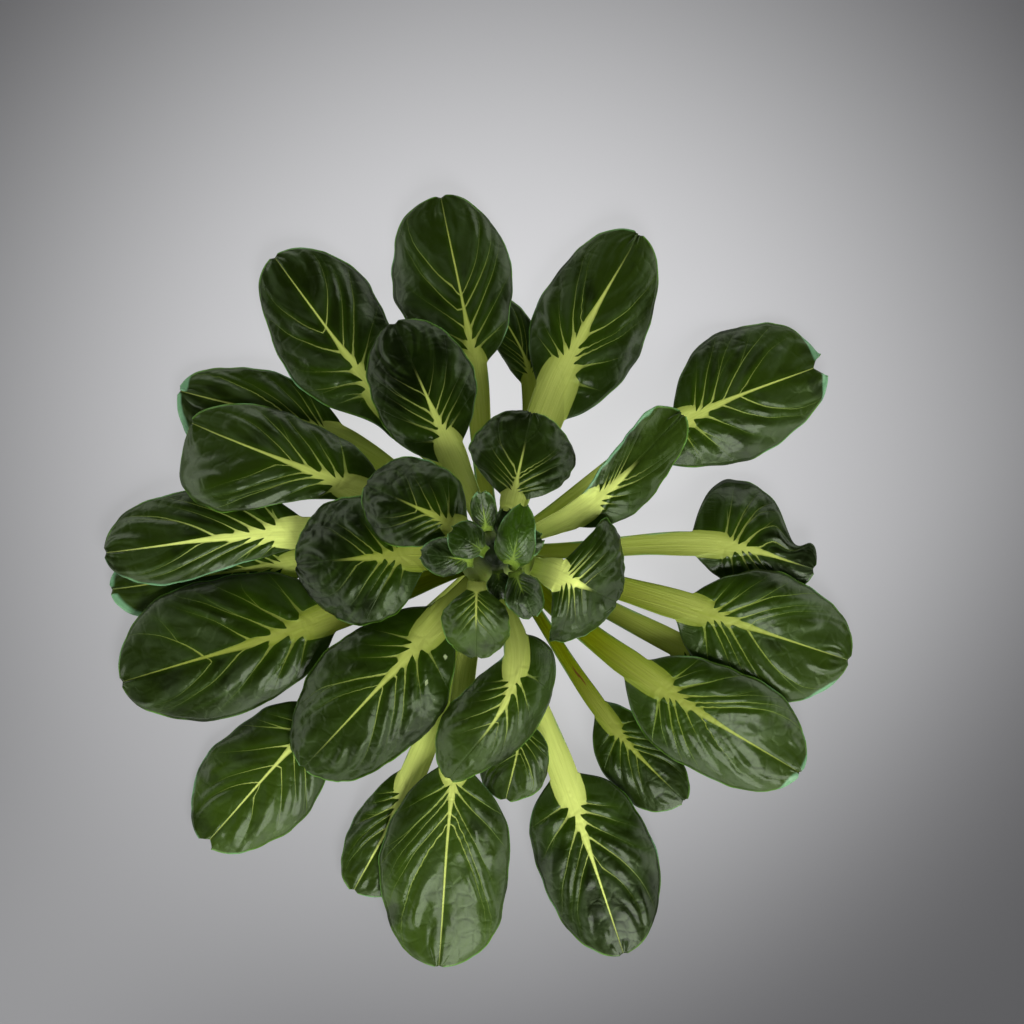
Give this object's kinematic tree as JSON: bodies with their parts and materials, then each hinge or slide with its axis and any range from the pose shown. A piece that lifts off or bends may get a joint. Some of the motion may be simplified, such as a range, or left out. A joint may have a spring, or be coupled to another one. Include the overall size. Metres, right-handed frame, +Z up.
{
  "type": "tatsoi rosette",
  "caption": "Flat rosette of glossy dark green spoon-shaped leaves on pale petioles, spreading from a short cut crown.",
  "frame": {"origin": "middle of the flat cut base of the crown, where the rosette rests", "axes": "+Z up out of the heart of the rosette; +X and +Y across the leaves, laid out as seen from above"},
  "size_m": [0.2516, 0.2601, 0.0525],
  "materials": {
    "outer_leaf": "dark green blade with a waxy sheen, sunken pale veins and a pale green petiole",
    "middle_leaf": "deep green glossy blade, pale green veins and petiole",
    "heart_leaf": "fresh green, glossy",
    "crown": "pale cream green stem with leaf scars, cut across at its base"
  },
  "bodies": {
    "root": {"crown": "crown", "outer_leaf_01": "outer_leaf", "outer_leaf_02": "outer_leaf", "outer_leaf_03": "outer_leaf", "outer_leaf_04": "outer_leaf", "outer_leaf_05": "outer_leaf", "outer_leaf_06": "outer_leaf", "outer_leaf_07": "outer_leaf", "outer_leaf_08": "outer_leaf", "outer_leaf_09": "outer_leaf", "outer_leaf_10": "outer_leaf", "outer_leaf_11": "outer_leaf", "outer_leaf_12": "outer_leaf", "outer_leaf_13": "outer_leaf", "outer_leaf_14": "outer_leaf", "outer_leaf_15": "outer_leaf", "outer_leaf_16": "outer_leaf", "outer_leaf_17": "outer_leaf", "outer_leaf_18": "outer_leaf", "outer_leaf_19": "outer_leaf", "outer_leaf_20": "outer_leaf", "middle_leaf_1": "middle_leaf", "middle_leaf_2": "middle_leaf", "middle_leaf_3": "middle_leaf", "middle_leaf_4": "middle_leaf", "middle_leaf_5": "middle_leaf", "middle_leaf_6": "middle_leaf", "inner_leaf_1": "middle_leaf", "inner_leaf_2": "middle_leaf", "inner_leaf_3": "middle_leaf", "heart_leaf_1": "heart_leaf", "heart_leaf_2": "heart_leaf", "heart_leaf_3": "heart_leaf", "heart_leaf_4": "heart_leaf", "heart_leaf_5": "heart_leaf", "heart_leaf_6": "heart_leaf", "heart_leaf_7": "heart_leaf", "heart_leaf_8": "heart_leaf"}
  },
  "joints": []
}
